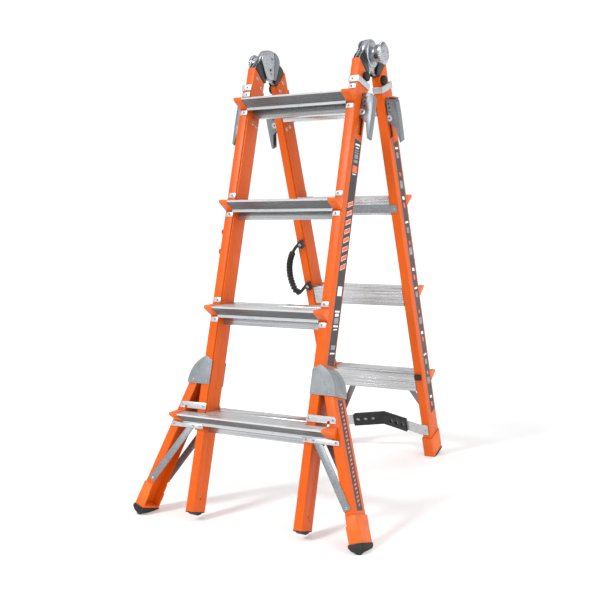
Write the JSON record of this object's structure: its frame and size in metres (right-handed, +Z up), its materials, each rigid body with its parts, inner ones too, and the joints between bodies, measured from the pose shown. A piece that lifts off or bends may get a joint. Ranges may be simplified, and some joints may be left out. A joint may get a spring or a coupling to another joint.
{
  "type": "multi-position ladder",
  "caption": "Articulated telescoping step ladder in orange fibreglass with flared lower legs, nested rail sections and locking top hinges.",
  "frame": {"origin": "on the floor under the hinge line, midway between the side rails", "axes": "+X to the climber's right, +Y from the flared front section toward the rear section, +Z up"},
  "size_m": [0.7132, 0.9722, 1.3167],
  "materials": {
    "fibreglass": "pultruded glass-fibre resin, orange, satin gloss",
    "orange_plastic": "moulded, fine satin",
    "cast_grey": "cast, tumbled grey",
    "tread_aluminium": "extruded, ribbed, satin",
    "plated_steel": "zinc plated, bright",
    "brace_steel": "zinc plated, dull",
    "rivet_steel": "plated rivet heads",
    "hinge_steel": "machined and polished",
    "knob_chrome": "polished",
    "black_rubber": "moulded, matt",
    "black_plastic": "moulded nylon",
    "red_plastic": "moulded",
    "lever_aluminium": "satin, blasted"
  },
  "bodies": {
    "front_outer": {"front_outer_rail_left": "fibreglass", "front_outer_rail_right": "fibreglass", "flared_leg_left": "fibreglass", "flared_leg_right": "fibreglass", "leg_gussets": "cast_grey", "front_step_1": "tread_aluminium", "front_step_2": "tread_aluminium", "front_step_3": "tread_aluminium", "front_step_4": "tread_aluminium", "front_step_brackets": "orange_plastic", "leg_link_plates": "plated_steel", "leg_struts": "brace_steel", "flared_leg_boots": "orange_plastic", "flared_leg_feet": "black_rubber", "front_rail_plates": "plated_steel", "front_outer_rivets": "rivet_steel", "storage_knobs": "red_plastic"},
    "front_inner": {"front_inner_rail_left": "fibreglass", "front_inner_rail_right": "fibreglass", "front_rungs": "tread_aluminium", "front_end_caps": "black_plastic", "front_bumpers": "black_plastic", "front_hinge_arm_left": "hinge_steel", "front_hinge_arm_right": "hinge_steel", "front_hinge_shields": "black_plastic", "hinge_pivot_pins": "hinge_steel", "hinge_springs": "rivet_steel", "front_inner_rivets": "rivet_steel"},
    "rear_inner": {"rear_inner_rail_left": "fibreglass", "rear_inner_rail_right": "fibreglass", "rear_rungs": "tread_aluminium", "rear_end_caps": "black_plastic", "rear_bumpers": "black_plastic", "rear_hinge_arm_left": "hinge_steel", "rear_hinge_arm_right": "hinge_steel", "rear_hinge_shields": "black_plastic", "rear_inner_rivets": "rivet_steel"},
    "rear_outer": {"rear_outer_rail_left": "fibreglass", "rear_outer_rail_right": "fibreglass", "rear_step_1": "tread_aluminium", "rear_step_2": "tread_aluminium", "rear_step_3": "tread_aluminium", "rear_step_4": "tread_aluminium", "rear_step_brackets": "orange_plastic", "rear_rail_plates": "plated_steel", "rear_outer_rivets": "rivet_steel", "rear_braces": "brace_steel", "v_bar": "tread_aluminium", "v_bar_sleeve": "black_rubber", "carry_handle": "black_plastic", "handle_mounts": "black_plastic", "rear_boots": "orange_plastic", "rear_feet": "black_rubber", "rail_clip": "black_plastic"},
    "lock_front_left": {"lock_lever_front_left": "lever_aluminium"},
    "lock_front_right": {"lock_lever_front_right": "lever_aluminium"},
    "lock_rear_left": {"lock_lever_rear_left": "lever_aluminium"},
    "lock_rear_right": {"lock_lever_rear_right": "lever_aluminium"},
    "knob_left": {"hinge_knob_left": "knob_chrome"},
    "knob_right": {"hinge_knob_right": "knob_chrome"}
  },
  "joints": [
    {"name": "front_extension", "type": "slide", "parent": "front_outer", "child": "front_inner", "axis": [0, 0.3007, 0.9537], "range_m": [0, 0.9144]},
    {"name": "main_fold", "type": "hinge", "parent": "front_inner", "child": "rear_inner", "pos_m": [0, 0, 1.27431], "axis": [1, 0, 0], "range_deg": [-35, 145]},
    {"name": "rear_extension", "type": "slide", "parent": "rear_inner", "child": "rear_outer", "axis": [0, 0.3007, -0.9537], "range_m": [0, 0.9144]},
    {"name": "lock_front_left_rock", "type": "hinge", "parent": "front_outer", "child": "lock_front_left", "pos_m": [-0.1955, -0.09004, 1.10348], "axis": [0, -0.9537, 0.3007], "range_deg": [0, 18]},
    {"name": "lock_front_right_rock", "type": "hinge", "parent": "front_outer", "child": "lock_front_right", "pos_m": [0.1955, -0.09004, 1.10348], "axis": [0, -0.9537, 0.3007], "range_deg": [-18, 0]},
    {"name": "lock_rear_left_rock", "type": "hinge", "parent": "rear_outer", "child": "lock_rear_left", "pos_m": [-0.1955, 0.09004, 1.10348], "axis": [0, 0.9537, 0.3007], "range_deg": [-18, 0]},
    {"name": "lock_rear_right_rock", "type": "hinge", "parent": "rear_outer", "child": "lock_rear_right", "pos_m": [0.1955, 0.09004, 1.10348], "axis": [0, 0.9537, 0.3007], "range_deg": [0, 18]},
    {"name": "knob_left_push", "type": "slide", "parent": "front_inner", "child": "knob_left", "axis": [-1, 0, 0], "range_m": [-0.012, 0], "stiffness_N_per_m": 900, "springref_m": 0.004},
    {"name": "knob_right_push", "type": "slide", "parent": "front_inner", "child": "knob_right", "axis": [1, 0, 0], "range_m": [-0.012, 0], "stiffness_N_per_m": 900, "springref_m": 0.004}
  ]
}
